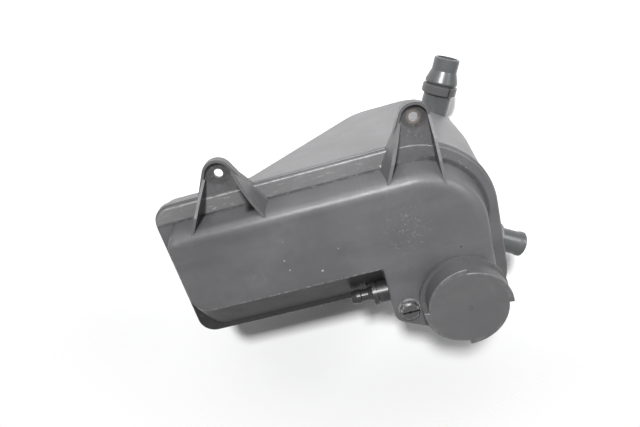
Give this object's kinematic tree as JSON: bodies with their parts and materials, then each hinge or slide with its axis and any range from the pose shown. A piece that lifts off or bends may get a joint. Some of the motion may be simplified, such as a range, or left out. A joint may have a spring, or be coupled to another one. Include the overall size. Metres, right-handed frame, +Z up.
{
  "type": "coolant expansion tank",
  "caption": "Flat black plastic coolant expansion tank with two fixing ears, a screw cap with valve unit, bleed screw, hose nipples and an inner level float.",
  "frame": {"origin": "midway between the two fixing holes, on the underside of the ears, which is the weld plane of the shells", "axes": "+Z up along the cap axis, +X along the long straight edges towards the cap end, +Y from the tank towards the ears"},
  "size_m": [0.2772, 0.1949, 0.165],
  "materials": {
    "cover_plastic": "moulded black plastic with light scuffs",
    "base_plastic": "moulded black plastic, slightly faded",
    "nipple_plastic": "smooth moulded plastic",
    "ring_plastic": "smooth moulded plastic",
    "vent_plastic": "smooth moulded plastic",
    "screw_plastic": "moulded plastic",
    "cap_plastic": "fine grained moulded plastic",
    "valve_plastic": "natural moulded plastic",
    "seal_rubber": "smooth rubber",
    "spring_steel": "drawn wire",
    "valve_steel": "pressed sheet",
    "valve_brass": "turned",
    "float_plastic": "closed-cell foam plastic",
    "magnet": "sintered ferrite"
  },
  "bodies": {
    "tank": {"upper_shell": "cover_plastic", "lower_shell": "base_plastic", "outlet_nipple": "nipple_plastic", "outlet_lock_ring": "ring_plastic", "side_nipple": "nipple_plastic", "vent_nipple": "vent_plastic", "level_well": "base_plastic", "float_stop": "valve_plastic"},
    "cap_core": {"valve_body": "valve_plastic", "upper_seal_ring": "seal_rubber", "lower_seal_ring": "seal_rubber", "valve_lid": "valve_plastic", "pressure_spring": "spring_steel"},
    "cap": {"cap_grip": "cap_plastic"},
    "pressure_valve": {"valve_plate": "valve_steel", "valve_seal": "seal_rubber", "vacuum_spring": "spring_steel"},
    "vacuum_valve": {"vacuum_poppet": "valve_brass", "vacuum_clip": "valve_steel"},
    "bleed_screw": {"bleed_screw": "screw_plastic", "bleed_seal": "seal_rubber"},
    "float": {"level_float": "float_plastic", "float_magnet": "magnet"}
  },
  "joints": [
    {"name": "cap_rise", "type": "slide", "parent": "tank", "child": "cap_core", "axis": [0, 0, 1], "range_m": [0, 0.007]},
    {"name": "cap_turn", "type": "hinge", "parent": "cap_core", "child": "cap", "pos_m": [0.0788, -0.134, 0.029], "axis": [0, 0, 1], "range_deg": [0, 620]},
    {"name": "pressure_lift", "type": "slide", "parent": "cap_core", "child": "pressure_valve", "axis": [0, 0, 1], "range_m": [0, 0.003], "stiffness_N_per_m": 2500, "springref_m": -0.0086, "deforming": ["pressure_spring"]},
    {"name": "vacuum_drop", "type": "slide", "parent": "pressure_valve", "child": "vacuum_valve", "axis": [0, 0, -1], "range_m": [0, 0.002], "stiffness_N_per_m": 100, "springref_m": -0.002, "deforming": ["vacuum_spring"]},
    {"name": "bleed_turn", "type": "hinge", "parent": "tank", "child": "bleed_screw", "pos_m": [0.0374, -0.1365, 0.0288], "axis": [0, 0, 1], "range_deg": [0, 360]},
    {"name": "float_rise", "type": "slide", "parent": "tank", "child": "float", "axis": [0, 0, 1], "range_m": [0, 0.0238]}
  ],
  "couplings": [
    {"joint": "cap_rise", "follows": "cap_turn", "m_per_rad": 0.00063662}
  ]
}
